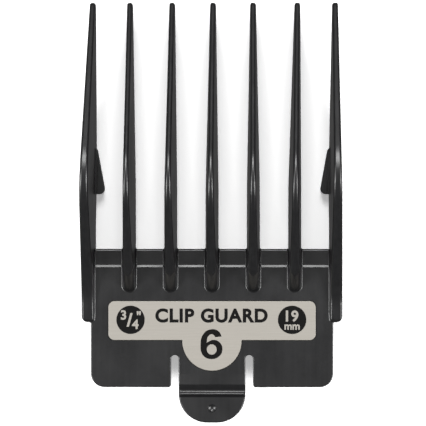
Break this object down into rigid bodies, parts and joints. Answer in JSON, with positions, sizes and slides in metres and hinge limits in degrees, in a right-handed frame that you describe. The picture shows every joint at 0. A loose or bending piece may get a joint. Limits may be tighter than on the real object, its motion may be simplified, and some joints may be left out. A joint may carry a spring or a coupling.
{
  "type": "clipper guard comb",
  "caption": "Clip-on guard comb for a hair clipper: a flat blade seat with long raked teeth, side walls, a spring tab and a badge.",
  "frame": {"origin": "middle of the plate's flat lower face, which the clipper's blade seats on", "axes": "+X across the teeth, +Y from the snap tab to the tooth tips, +Z from the blade to the skin"},
  "size_m": [0.0514, 0.0823, 0.0245],
  "materials": {
    "comb_plastic": "satin charcoal-black injection moulding",
    "badge_metal": "fine satin, printed"
  },
  "bodies": {
    "comb": {"seat_plate": "comb_plastic", "inner_tooth_1": "comb_plastic", "inner_tooth_2": "comb_plastic", "inner_tooth_3": "comb_plastic", "inner_tooth_4": "comb_plastic", "inner_tooth_5": "comb_plastic", "side_wall_left": "comb_plastic", "side_wall_right": "comb_plastic", "outer_tooth_left": "comb_plastic", "outer_tooth_right": "comb_plastic", "blade_catch_left": "comb_plastic", "blade_catch_right": "comb_plastic", "badge": "badge_metal"},
    "snap_tab": {"spring_leaf": "comb_plastic", "heel_hook": "comb_plastic", "thumb_lip": "comb_plastic"}
  },
  "joints": [
    {"name": "tab_flex", "type": "hinge", "parent": "comb", "child": "snap_tab", "pos_m": [0, -0.0113, 0.0008], "axis": [-1, 0, 0], "range_deg": [-3, 12], "stiffness_Nm_per_rad": 0.6}
  ]
}
